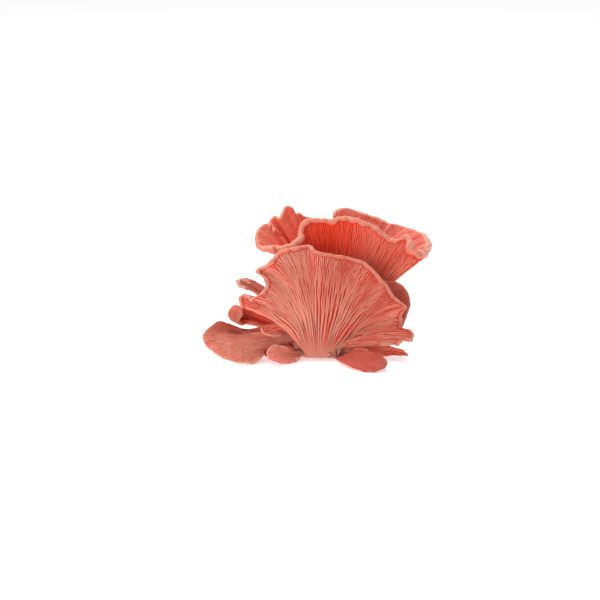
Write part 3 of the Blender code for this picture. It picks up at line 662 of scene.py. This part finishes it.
for label, value in (("spot", spot), ("start", start), ("leans", leans)):
    blades = add(tree, STORE, {"data_type": "FLOAT", "domain": "INSTANCE"}, blades, None, label, value)
loose = add(tree, "GeometryNodeRealizeInstances", {}, blades)
spot, start, leans = [add(tree, RECALL, VALUE, label) for label in ("spot", "start", "leans")]
print("the starts are set")

# %% [markdown]
# Now each vertex asks the bed three things at its own place on the map: where the bed is, which way
# the gills stand, and how wide the fan is there. Two noises move the gills. One is shared by
# neighbours, so that they waver together, and one is each gill's own.

# %% Ask the bed
inside = add(tree, SPLIT, {}, add(tree, RECALL, {"data_type": "FLOAT_VECTOR"}, "in_bar")).outputs
run = add(tree, MATH, PLUS, inside["Z"], 0.5)
along = add(tree, RANGE, {}, run, 0.0, 1.0, start, 0.997)
here = add(tree, JOIN, {}, spot, along)
bed_map = add(tree, RECALL, {"data_type": "FLOAT_VECTOR"}, "bed_map")
asked = {}
for label in ("place", "stands", "across", "depth"):
    kind = {"data_type": "FLOAT" if label == "depth" else "FLOAT_VECTOR"}
    wanted = position if label == "place" else add(tree, RECALL, kind, label)
    asked[label] = add(tree, "GeometryNodeSampleUVSurface", kind, given["Bed"], wanted, bed_map, here)
stands = add(tree, VECTOR, NORMALIZE, asked["stands"])
sideways = add(tree, VECTOR, NORMALIZE, asked["across"])
gap = add(tree, MATH, OVER, add(tree, VECTOR, LENGTH, asked["across"]), given["Gills"])
noises = []
SHARED_WAVER, OWN_WAVER = (26.0, 5.0), (900.0, 11.0)  # cells of noise across the fan and along it
for cells_across, cells_along in (SHARED_WAVER, OWN_WAVER):
    x = add(tree, MATH, TIMES, spot, cells_across)
    y = add(tree, MATH, TIMES, along, cells_along)
    noise = add(tree, NOISE, {}, add(tree, JOIN, {}, x, y, given["Seed"]), 1.0, 1.0)
    noises.append(add(tree, MATH, MINUS, noise.outputs[0], 0.5))
together, alone = noises
print("the bed answers for", list(asked))

# %% [markdown]
# A gill is as thick as the tree is told, or fills its room where that is less. Near the stem, where
# few gills have begun, a gill's room is sixteen times the spacing, and it shrinks to the spacing
# itself before the margin. A gill rises from where it starts and sinks a little at the bead.

# %% Move every vertex to its place
SUNK = 0.1  # how deep a gill's foot is sunk into the bed
shift = add(tree, MATH, TIMES, together, add(tree, MATH, TIMES, given["Waver"], 2.4))
shift = add(tree, MATH, TIMES_PLUS, alone, add(tree, MATH, TIMES, gap, 1.3), shift)
leaning = add(tree, RANGE, SMOOTH, run, 0.0, 0.3, 0.8, 0.0)
fork = add(tree, MATH, TIMES, leaning, add(tree, MATH, TIMES, leans, gap))
is_short = add(tree, RANGE, SMOOTH, start, 0.03, 0.1)
shift = add(tree, MATH, TIMES_PLUS, fork, is_short, shift)
filled = add(tree, MATH, POWER, add(tree, RANGE, {}, along, 0.0, 0.6), 0.62)
empty = add(tree, MATH, TIMES_PLUS, filled, -4.0, 4.0)
room = add(tree, MATH, TIMES, gap, add(tree, MATH, POWER, 2.0, empty))
half_gill = add(tree, MATH, TIMES, given["Gill Thickness"], 0.5)
width = add(tree, MATH, SMALLER, half_gill, add(tree, MATH, TIMES, room, 0.5))
width = add(tree, MATH, TIMES, width, add(tree, RANGE, SMOOTH, run, 0.0, 0.12, 0.3, 1.0))
height = add(tree, MATH, OVER, add(tree, MATH, PLUS, inside["Y"], 1.0), BAR_HEIGHT)
tall = add(tree, MATH, TIMES, asked["depth"], add(tree, RANGE, SMOOTH, run, 0.0, 0.16, 0.05, 1.0))
tall = add(tree, MATH, TIMES, tall, add(tree, RANGE, SMOOTH, run, 0.88, 1.0, 1.0, 0.6))
uneven = add(tree, MATH, TIMES_PLUS, alone, given["Unevenness"], 0.94)
tall = add(tree, MATH, TIMES, tall, uneven)
lift = add(tree, MATH, TIMES_PLUS, height, add(tree, MATH, PLUS, tall, SUNK * MM), -SUNK * MM)
move = add(tree, MATH, TIMES_PLUS, inside["X"], width, shift)
place_now = asked["place"]
for direction, distance in ((stands, lift), (sideways, move)):
    step = add(tree, VECTOR, SCALE, direction, distance)
    place_now = add(tree, VECTOR, PLUS, place_now, step)
comb = add(tree, "GeometryNodeSetPosition", {}, loose, None, place_now)
for label, value in (("gill_height", height), ("gill_along", along), ("gill_own", alone)):
    comb = add(tree, STORE, {"data_type": "FLOAT"}, comb, None, label, value)
comb = add(tree, "GeometryNodeSetShadeSmooth", {}, comb)
comb = add(tree, "GeometryNodeRealizeInstances", {}, comb)
comb = add(tree, "GeometryNodeSetMaterial", {}, comb, None, given["Finish"])
add(tree, "NodeGroupOutput", {}, comb)
print("the comb tree has", len(tree.nodes), "nodes")

# %% [markdown]
# ## The finishes
# Mushroom flesh is soft, moist tissue. Light goes a millimetre or two into it and comes back red,
# so thin caps glow where they are lit from behind. Principled BSDF's subsurface sockets give some of
# that with a shallow depth, and the rest is a painted glow in the colours. Its surface is dry and
# felt-like, so the gloss is broad and weak.
#
# Colours are given as sRGB codes, as a colour picker shows them, and one function turns them to
# the linear values that shaders work with.

# %% Colours and the shader they end in
def colour(code):
    """The linear colour of an sRGB hex code."""
    parts = [int(code[n:n + 2], 16) / 255 for n in (1, 3, 5)]
    return tuple(p / 12.92 if p <= 0.04045 else ((p + 0.055) / 1.055) ** 2.4 for p in parts) + (1,)


def tissue(name, gloss, glow, depth):
    """A material with the sockets that all mushroom tissue shares, still without its colours."""
    made = bpy.data.materials.new(name)
    made.use_nodes = True
    shader = made.node_tree.nodes["Principled BSDF"]
    for label, value in (
        ("Roughness", gloss), ("IOR", 1.4), ("Subsurface Weight", glow), ("Subsurface Scale", depth * MM),
        ("Subsurface Radius", (1.0, 0.32, 0.2)), ("Sheen Weight", 0.05), ("Sheen Roughness", 0.5),
        ("Specular IOR Level", 0.35),
    ):
        shader.inputs[label].default_value = value
    return made, made.node_tree, shader


print("coral is", [round(c, 3) for c in colour("#E07060")[:3]])

# %% [markdown]
# ### Cap skin
# The skin is a felt of fine threads that run from the stem to the margin. It is mottled, paler at
# the margin where it is thinnest, and pale again towards the stem, where the pigment stops. The
# threads follow the "grain" map, which is in metres: u runs round the margin and v from the stem.
# Real threads are a few hundredths of a millimetre wide and would not show, so they are drawn in
# bundles of about half a millimetre. A felt of the same size lies over them, as a bump, and its pits
# are darkened with painted shade and its tips lightened with painted highlights.
#
# Two attributes tell caps apart, and both paint light and shade into the colour. The first turns
# the skin to vivid coral, a painted glow of the light that shines through thin flesh, and the shade
# attribute is painted shade that darkens the places listed in SHADED.

# %% Skin of a cap
THREAD_BUNDLE, THREAD_LENGTH = 0.55, 9
FELT = 0.6
MOTTLE = 5.0
FELT_HEIGHT = 0.3
# VIVID_SKIN is the colour of the painted glow of light through thin flesh
VIVID_SKIN = "#F0472B"
SHADOW_RED = "#9C2E1C"


def skin(name, main, blush, edge, flesh_colour, bed_colour):
    made, tree, shader = tissue(name, 0.72, 0.35, 0.8)
    grain = add(tree, "ShaderNodeUVMap", {"uv_map": "grain"})
    cells = (1 / (THREAD_BUNDLE * MM), 1 / (THREAD_LENGTH * MM), 1)
    stretched = add(tree, "ShaderNodeMapping", {}, grain, None, None, cells)
    threads = add(tree, NOISE, {}, stretched, 1.0, 3.0, 0.6)
    spots = add(tree, "ShaderNodeTexCoord", {}).outputs["Object"]
    mottle = add(tree, NOISE, {}, spots, 1 / (MOTTLE * MM), 4.0, 0.6)
    felt = add(tree, NOISE, {}, spots, 1 / (FELT * MM), 3.0, 0.65)
    margin, stem, bed, young, shade = [
        add(tree, "ShaderNodeAttribute", {"attribute_name": label}).outputs["Fac"]
        for label in ("near_margin", "near_stem", "on_bed", "young", "shade")]
    mottled = add(tree, RANGE, SMOOTH, mottle, 0.35, 0.68)
    base = add(tree, MIX, COLOURS, mottled, colour(main), colour(blush))
    # Painted glow: vivid coral where light would shine through the thin flesh
    base = add(tree, MIX, COLOURS, young, base, colour(VIVID_SKIN))
    streak = add(tree, RANGE, {}, threads, 0.35, 0.75, 0.0, 0.5)
    base = add(tree, MIX, COLOURS, streak, base, colour(edge))
    # Painted shade in the felt's pits and painted highlights on its tips
    pit = add(tree, RANGE, {}, felt, 0.5, 0.32, 0.0, 0.4)
    base = add(tree, MIX, COLOURS, pit, base, colour(SHADOW_RED))
    tip = add(tree, RANGE, {}, felt, 0.5, 0.68, 0.0, 0.8)
    base = add(tree, MIX, COLOURS, tip, base, colour(edge))
    band = add(tree, RANGE, SMOOTH, margin, 0.25, 1.0, 0.0, 0.6)
    base = add(tree, MIX, COLOURS, band, base, colour(edge))
    towards = add(tree, MATH, PLUS, stem, add(tree, RANGE, {}, threads, 0.0, 1.0, -0.12, 0.12))
    unpigmented = add(tree, RANGE, SMOOTH, towards, 0.7, 1.0, 0.0, 0.9)
    base = add(tree, MIX, COLOURS, unpigmented, base, colour(flesh_colour))
    bare = add(tree, RANGE, SMOOTH, stem, 0.8, 1.0, 0.0, 0.8)
    bare = add(tree, MIX, COLOURS, bare, colour(bed_colour), colour(flesh_colour))
    base = add(tree, MIX, COLOURS, bed, base, bare)
    # Painted shade: the places in SHADED are darkened towards SHADOW_RED
    base = add(tree, MIX, COLOURS, shade, base, colour(SHADOW_RED))
    tree.links.new(base.outputs[2], shader.inputs["Base Color"])
    rough = add(tree, MATH, TIMES_PLUS, threads, 0.6, add(tree, MATH, TIMES, felt, 0.5))
    bump = add(tree, "ShaderNodeBump", {}, 0.8, FELT_HEIGHT * MM, None, rough)
    tree.links.new(bump.outputs[0], shader.inputs["Normal"])
    return made


SKINS = {
    "skin": skin("felted_coral_skin", "#CB5A47", "#D67763", "#DA9E88", "#D38F7C", "#EA4A36"),
    "pale": skin("felted_pale_skin", "#CF6A58", "#DB8874", "#E8B4A3", "#E0A28F", "#E8523D"),
    "deep": skin("smooth_deep_skin", "#AC3C2B", "#BD503E", "#CF7A68", "#D58B77", "#C8301F"),
}
SLOTS = {"skin": "coral_skin", "pale": "pale_skin", "deep": "deep_skin"}
print("skins:", [finish.name for finish in SKINS.values()])

# %% [markdown]
# ### Gills
# A gill is a thin wall of the same tissue. Its edge is pale with spores and its foot is deep red,
# because the light there has been through the cap. Both are read from the height that the tree has
# stored. Towards the stem the gills fade into pale flesh. Gills also differ from one to the next,
# so redder and paler bands run along the fan.
#
# Three attributes paint light and shade: one turns gills vivid red with a painted glow of light
# through the flesh, one makes them paler with painted light, and the shade attribute is the same
# painted shade as on the skin.

# %% Finish of the gills
GILL_COLOURS = {
    "red edge": "#E2583F", "pale edge": "#F3A18B", "palest edge": "#EFB4A0", "groove": "#E94C36",
    "vivid": "#FA4A28", "lower part": "#F3A590", "bleached": "#F0937D", "at the stem": "#CF9181",
}
BANDS_ACROSS, BANDS_ALONG = 30.0, 1.6
DUST, DUST_HEIGHT = 0.5, 0.1


def gill_finish():
    made, tree, shader = tissue("spore_bearing_gill", 0.62, 0.35, 0.7)
    tint = {label: colour(code) for label, code in GILL_COLOURS.items()}
    height, along, own, young, bleached, shade, spot = [
        add(tree, "ShaderNodeAttribute", {"attribute_name": label}).outputs["Fac"]
        for label in ("gill_height", "gill_along", "gill_own", "young", "bleached", "shade", "spot")]
    spots = add(tree, "ShaderNodeTexCoord", {}).outputs["Object"]
    fan = [add(tree, MATH, TIMES, way, cells) for way, cells in ((spot, BANDS_ACROSS), (along, BANDS_ALONG))]
    bands = add(tree, NOISE, {}, add(tree, JOIN, {}, *fan), 1.0, 3.0, 0.6)
    dust = add(tree, NOISE, {}, spots, 1 / (DUST * MM), 2.0, 0.6)
    banded = add(tree, RANGE, SMOOTH, bands, 0.36, 0.64)
    edge = add(tree, MIX, COLOURS, banded, tint["red edge"], tint["pale edge"])
    paler = add(tree, RANGE, {}, own, -0.2, 0.25, 0.0, 0.4)
    edge = add(tree, MIX, COLOURS, paler, edge, tint["palest edge"])
    risen = add(tree, RANGE, SMOOTH, height, 0.2, 0.9)
    wall = add(tree, MIX, COLOURS, risen, tint["groove"], edge)
    # Painted glow: vivid red of light through the flesh, stronger towards the margin
    glow_along = add(tree, RANGE, {}, along, 0.0, 0.5, 0.35, 1.0)
    wall = add(tree, MIX, COLOURS, add(tree, MATH, TIMES, young, glow_along), wall, tint["vivid"])
    down = add(tree, RANGE, SMOOTH, along, 0.15, 0.75, 0.55, 0.0)
    down = add(tree, MATH, TIMES, down, add(tree, RANGE, {}, height, 0.2, 0.8, 0.4, 1.0))
    wall = add(tree, MIX, COLOURS, down, wall, tint["lower part"])
    # Painted light: paler gills where a cap is painted lit, less towards the margin
    painted_light_along = add(tree, RANGE, SMOOTH, along, 0.25, 0.85, 0.8, 0.45)
    wall = add(tree, MIX, COLOURS, add(tree, MATH, TIMES, bleached, painted_light_along), wall, tint["bleached"])
    towards = add(tree, MATH, PLUS, along, add(tree, RANGE, {}, dust, 0.0, 1.0, -0.1, 0.1))
    at_stem = add(tree, RANGE, SMOOTH, towards, 0.02, 0.24, 0.85, 0.0)
    wall = add(tree, MIX, COLOURS, at_stem, wall, tint["at the stem"])
    # Painted shade, the same as on the skin
    wall = add(tree, MIX, COLOURS, shade, wall, colour(SHADOW_RED))
    tree.links.new(wall.outputs[2], shader.inputs["Base Color"])
    bump = add(tree, "ShaderNodeBump", {}, 0.5, DUST_HEIGHT * MM, None, dust)
    tree.links.new(bump.outputs[0], shader.inputs["Normal"])
    return made


gill_material = gill_finish()
print("gill finish:", gill_material.name)

# %% [markdown]
# ### Put the gills on
# Each cap gets its own bed and its own comb. The modifier's inputs are set by the identifiers of
# their sockets, and the evaluated result becomes a plain mesh, so nothing live is left behind.
#
# The first table below says how much painted glow, the vivid red of light through thin flesh, a
# cap's skin and its gills get. The second is painted light: places from side to side in
# millimetres where two of the caps are painted paler, as the lit left of the front cap is, and how
# much paler at each. Where a cap is painted paler, its painted glow gives way.

# %% Comb each cap
def comb_cap(name, bed, count, seed):
    identifiers = {
        item.name: item.identifier for item in tree.interface.items_tree if item.in_out == "INPUT"}
    modifier = bed.modifiers.new("comb", "NODES")
    modifier.node_group = tree
    for label, value in (("Gills", count), ("Seed", seed), ("Finish", gill_material)):
        modifier[identifiers[label]] = value
    whole = bed.evaluated_get(bpy.context.evaluated_depsgraph_get())
    mesh = bpy.data.meshes.new_from_object(whole)
    mesh.name = name
    mesh.materials.clear()
    mesh.materials.append(gill_material)
    bpy.data.objects.remove(bed, do_unlink=True)
    return place(name, mesh)


# Painted glow for each cap, for its skin and then its gills
PAINTED_GLOW = {
    "rear_mushroom": (1.0, 1.0), "back_mushroom": (0.75, 0.5), "curled_mushroom": (0.25, 1.0),
    "right_mushroom": (0.15, 0.15), "low_mushroom": (0.45, 0.2), "tongue_mushroom": (0.35, 0.2),
    "strap_mushroom": (0.6, 0.4), "half_round_mushroom": (0.3, 0.3), "tucked_mushroom": (0.3, 0.3),
    "front_mushroom": (0.1, 0.2),
}
# Painted light: places across the cap in millimetres, and how much paler each is painted
PAINTED_LIGHT_PLACES = {
    "front_mushroom": ((-34, -26, -14, -4), (0.2, 1, 0.8, 0)),
    "rear_mushroom": ((-34, -20, 5, 36), (0.6, 0.1, 0, 0.5)),
}
FEWEST_GILLS = 10
gills = {}
for number, (name, cap) in enumerate(caps.items()):
    widest = np.linalg.norm(np.diff(cap["points"][ROWS // 2:], axis=1), axis=2).sum(axis=1).max()
    count = max(FEWEST_GILLS, round(float(widest) / GILL_SPACING))
    bed = bed_object(name + "_bed", cap)
    gills[name] = comb_cap(name.replace("mushroom", "gills"), bed, count, number + 1)
    flesh[name].data.materials.append(SKINS[MUSHROOMS[name]["look"]])
    for mesh, glow_share in zip((flesh[name].data, gills[name].data), PAINTED_GLOW.get(name, (0, 0))):
        where = np.zeros(3 * len(mesh.vertices))
        mesh.vertices.foreach_get("co", where)
        side_to_side = where[0::3] / MM
        where[2::3] = np.maximum(where[2::3], FLOOR_GAP * MM)
        mesh.vertices.foreach_set("co", where)
        # Painted light, and the painted glow giving way to it
        lit_share = np.interp(side_to_side, *PAINTED_LIGHT_PLACES.get(name, ((0, 1), (0, 0))))
        store(mesh, "young", glow_share * (1 - lit_share))
        store(mesh, "bleached", lit_share)
    spot = np.zeros(len(gills[name].data.vertices))
    gills[name].data.attributes["spot"].data.foreach_get("value", spot)
    # The gills take the painted shade of the spoke they stand at
    store(gills[name].data, "shade", np.interp(spot, cap["v"], cap["shade"]))
    print(name, "has", count, "gills in", len(gills[name].data.polygons), "faces")

# %% [markdown]
# ## The shared base
# All the stems grow from one pale lump that was cut from the growing block. It is the most uneven
# part of the cluster: swollen where stems begin, with a level face where the knife went through.
# A sphere would look turned on a lathe, so swellings of four sizes push its surface in
# and out, and the flat face stays flat because only rows above it move.

# %% Shape of the base
LUMP_HALF_WIDTH = 17.5
LUMP_HALF_DEPTH = 12
LUMP_SET_BACK = 2
LUMP_HEIGHT = 21
AROUND, UP, IN = 180, 50, 8  # points round the lump, rows up its side, rows in its flat face
SWELLS = ((0.9, 16), (0.75, 7), (0.3, 3), (0.12, 1.3))  # for each kind of swelling, height and size
MEAN_SWELL = 0.6
SWELL_SEED = 901


def base_mesh():
    turn = np.linspace(0, 2 * math.pi, AROUND, endpoint=False)
    rise = np.linspace(0, math.pi / 2, UP + 1)[:-1, None]
    shell = np.stack([
        np.cos(rise) * np.cos(turn) * LUMP_HALF_WIDTH,
        np.cos(rise) * np.sin(turn) * LUMP_HALF_DEPTH,
        np.sin(rise) * LUMP_HEIGHT + 0 * turn,
    ], axis=-1)
    swell = sum(height * lumps(shell, SWELL_SEED + n, size) for n, (height, size) in enumerate(SWELLS))
    outward = unit(shell / [LUMP_HALF_WIDTH, LUMP_HALF_DEPTH, LUMP_HEIGHT])
    shell = shell + outward * (swell - MEAN_SWELL)[:, :, None]
    shell[0, :, 2] = 0
    shell[:, :, 2] = np.maximum(shell[:, :, 2], 0)
    face = shell[0] * np.linspace(0.1, 1, IN, endpoint=False)[:, None, None]
    rings = np.concatenate([face, shell])
    rings[:, :, 1] += LUMP_SET_BACK
    top, bottom = rings[-1].mean(axis=0) + [0, 0, 0.2], rings[0].mean(axis=0)
    number = np.arange(len(rings) * AROUND).reshape(len(rings), AROUND)
    following = np.roll(number, -1, axis=1)
    wall = np.stack([number[:-1], following[:-1], following[1:], number[1:]], axis=-1).reshape(-1, 4).tolist()
    last = len(rings) * AROUND
    caps_of_it = [[int(a), int(b), last] for a, b in zip(number[-1], following[-1])]
    caps_of_it += [[int(b), int(a), last + 1] for a, b in zip(number[0], following[0])]
    mesh = bpy.data.meshes.new("base")
    points = np.concatenate([rings.reshape(-1, 3), [top], [bottom]]) * MM
    mesh.from_pydata([tuple(p) for p in points], [], wall + caps_of_it)
    mesh.shade_smooth()
    return mesh


base = place("shared_base", base_mesh())
print("the base has", len(base.data.polygons), "faces")

# %% [markdown]
# ### Flesh of the stems
# Stem flesh is pale, stringy and a little damp. Its strings run upwards, and in the folds it keeps
# a blush of pink.

# %% Finish of the base
STRING_SIZE = (0.9, 0.9, 8)
PALE_FLESH, BLUSH, STRING_COLOUR = "#DFA08E", "#CC6855", "#EBBBAA"


def stem_finish():
    made, tree, shader = tissue("stringy_stem_flesh", 0.6, 0.35, 0.8)
    spots = add(tree, "ShaderNodeTexCoord", {}).outputs["Object"]
    cells = [1 / (size * MM) for size in STRING_SIZE]
    upright = add(tree, "ShaderNodeMapping", {}, spots, None, None, cells)
    strings = add(tree, NOISE, {}, upright, 1.0, 3.0, 0.6)
    blush = add(tree, NOISE, {}, spots, 1 / (6 * MM), 4.0, 0.6)
    pores = add(tree, NOISE, {}, spots, 1 / (0.6 * MM), 3.0, 0.65)
    blushing = add(tree, RANGE, SMOOTH, blush, 0.4, 0.7)
    base_colour = add(tree, MIX, COLOURS, blushing, colour(PALE_FLESH), colour(BLUSH))
    string = add(tree, RANGE, {}, strings, 0.3, 0.7, 0.0, 0.5)
    base_colour = add(tree, MIX, COLOURS, string, base_colour, colour(STRING_COLOUR))
    tree.links.new(base_colour.outputs[2], shader.inputs["Base Color"])
    rough = add(tree, MATH, TIMES_PLUS, strings, 0.7, add(tree, MATH, TIMES, pores, 0.5))
    bump = add(tree, "ShaderNodeBump", {}, 0.9, 0.35 * MM, None, rough)
    tree.links.new(bump.outputs[0], shader.inputs["Normal"])
    return made


base.data.materials.append(stem_finish())
print("the base is finished in", base.data.materials[0].name)

# %% [markdown]
# ## Floor and light
# The cluster stands on a plain pale floor, wide enough to have no edge in sight. It gives off a
# little light of its own, which keeps it white under the cluster.

# %% Floor
floor_mesh = bpy.data.meshes.new("floor")
floor_mesh.from_pydata([(-3, -3, 0), (3, -3, 0), (3, 3, 0), (-3, 3, 0)], [], [(0, 1, 2, 3)])
floor = place("floor", floor_mesh)
floor_finish = bpy.data.materials.new("pale_paper")
floor_finish.use_nodes = True
for label, value in (
    ("Base Color", colour("#FAFAFA")), ("Roughness", 0.9), ("Emission Color", (1, 1, 1, 1)),
    ("Emission Strength", 0.4),
):
    floor_finish.node_tree.nodes["Principled BSDF"].inputs[label].default_value = value
floor_mesh.materials.append(floor_finish)
print("floor ready")

# %% [markdown]
# One broad soft light hangs above and behind, a little to the left, and makes the thin caps glow. A
# weaker one stands low in front, to the left, and opens the shadows. A pale sky all round keeps the
# rest soft.

# %% Lights
def soft_light(name, where, towards, size, power):
    lamp = bpy.data.lights.new(name, "AREA")
    lamp.shape = "DISK"
    lamp.size = size
    lamp.energy = power
    made = bpy.data.objects.new(name, lamp)
    bpy.context.scene.collection.objects.link(made)
    made.location = where
    away = np.array(where) - np.array(towards)
    tilt = math.atan2(math.hypot(away[0], away[1]), away[2])
    made.rotation_euler = (tilt, 0, math.atan2(away[0], -away[1]))
    return made


MIDDLE = (0, 0, 0.03)
soft_light("light_above", (-0.15, 0.35, 0.75), MIDDLE, 0.6, 7.7)
soft_light("light_in_front", (-0.65, -0.98, 0.28), MIDDLE, 0.6, 4.6)
sky = bpy.data.worlds.new("sky")
sky.use_nodes = True
sky.node_tree.nodes["Background"].inputs[0].default_value = (1, 1, 1, 1)
sky.node_tree.nodes["Background"].inputs[1].default_value = 0.5
bpy.context.scene.world = sky
bpy.context.scene.view_settings.view_transform = "Standard"
print("lights ready")

# %% [markdown]
# ## Hand over
# Every piece rides on the one body, and the node of the imported model that each cap takes the place
# of is hidden.

# %% Riding, and hiding the imported nodes
for name in MUSHROOMS:
    for piece, slot in ((flesh[name], SLOTS[MUSHROOMS[name]["look"]]), (gills[name], "gills")):
        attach(piece, "root")
        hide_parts(name)
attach(base, "root")
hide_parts("cut_base")
bpy.context.view_layer.update()
